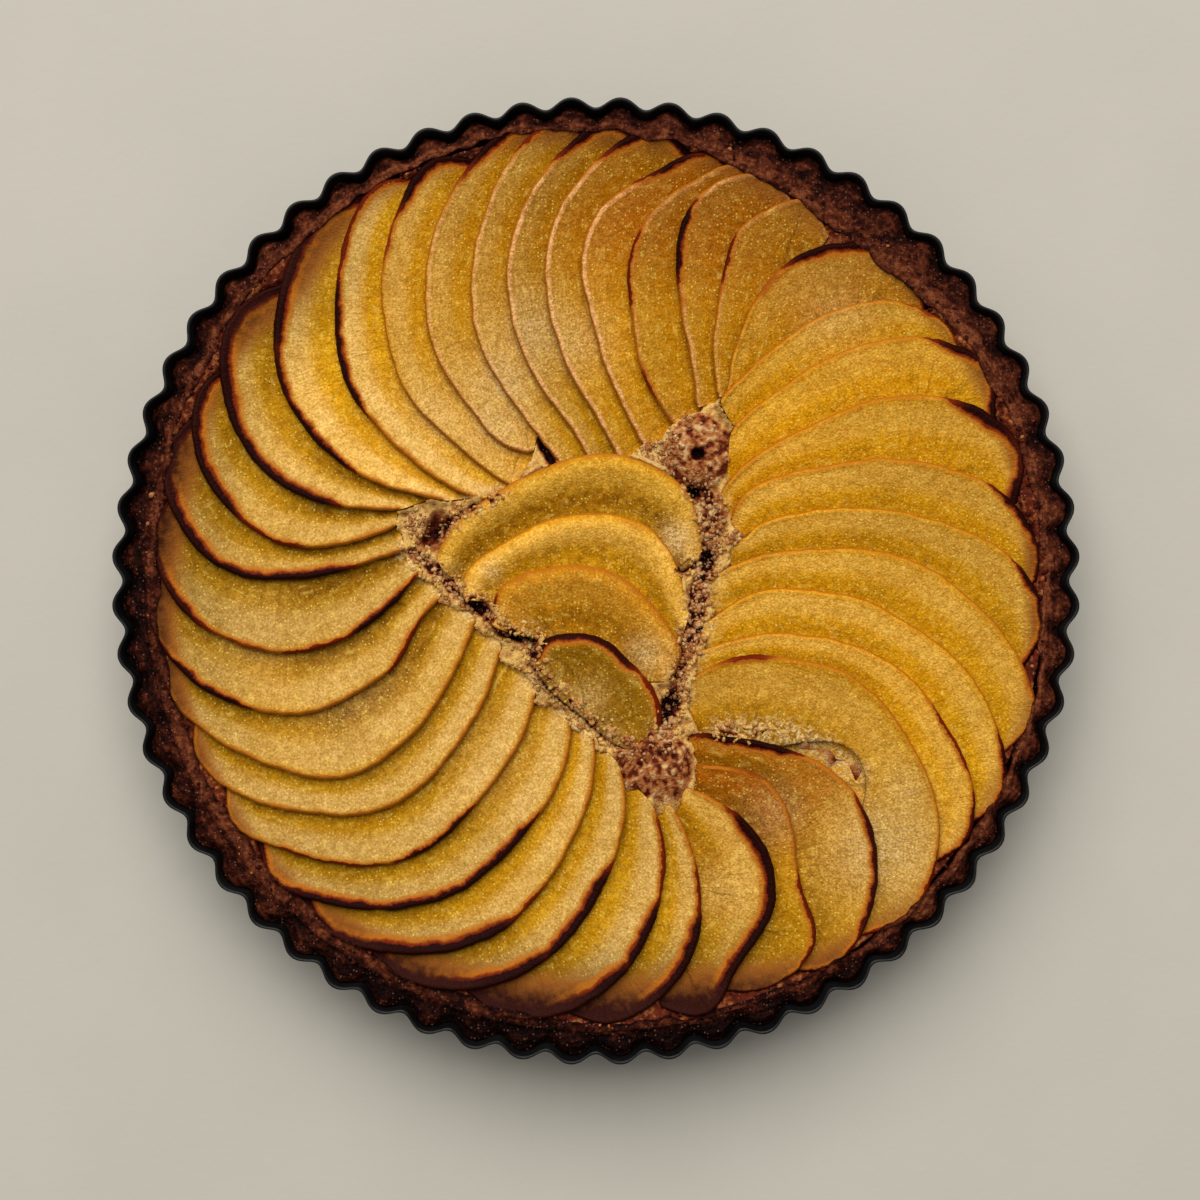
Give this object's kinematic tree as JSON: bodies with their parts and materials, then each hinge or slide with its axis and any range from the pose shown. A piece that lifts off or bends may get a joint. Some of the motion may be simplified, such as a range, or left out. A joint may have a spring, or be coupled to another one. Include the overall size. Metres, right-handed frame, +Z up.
{
  "type": "frangipane tart",
  "caption": "Round apple and almond tart in its fluted tin: overlapping apple slices laid as a ring round a small fan, browned filling between them and a dark baked pastry edge.",
  "frame": {"origin": "centre of the tin's underside, where the tart stands", "axes": "+Z up; +Y towards the side that the peel of the middle slices faces, at the top as seen from above"},
  "size_m": [0.2496, 0.2496, 0.0306],
  "materials": {
    "tin": "dark non-stick coating, soft sheen",
    "pastry": "dark baked shortcrust, dry and grainy",
    "almond_filling": "deeply browned almond sponge, rough",
    "apple": "baked apple, golden and slightly moist"
  },
  "bodies": {
    "root": {"tin": "tin", "pastry_case": "pastry", "frangipane": "almond_filling", "apple_slice_01": "apple", "apple_slice_02": "apple", "apple_slice_03": "apple", "apple_slice_04": "apple", "apple_slice_05": "apple", "apple_slice_06": "apple", "apple_slice_07": "apple", "apple_slice_08": "apple", "apple_slice_09": "apple", "apple_slice_10": "apple", "apple_slice_11": "apple", "apple_slice_12": "apple", "apple_slice_13": "apple", "apple_slice_14": "apple", "apple_slice_15": "apple", "apple_slice_16": "apple", "apple_slice_17": "apple", "apple_slice_18": "apple", "apple_slice_19": "apple", "apple_slice_20": "apple", "apple_slice_21": "apple", "apple_slice_22": "apple", "apple_slice_23": "apple", "apple_slice_24": "apple", "apple_slice_25": "apple", "apple_slice_26": "apple", "apple_slice_27": "apple", "apple_slice_28": "apple", "apple_slice_29": "apple", "apple_slice_30": "apple", "apple_slice_31": "apple", "apple_slice_32": "apple", "apple_slice_33": "apple", "apple_slice_34": "apple", "apple_slice_35": "apple", "apple_slice_36": "apple", "apple_slice_37": "apple", "middle_slice_1": "apple", "middle_slice_2": "apple", "middle_slice_3": "apple", "middle_slice_4": "apple"}
  },
  "joints": []
}
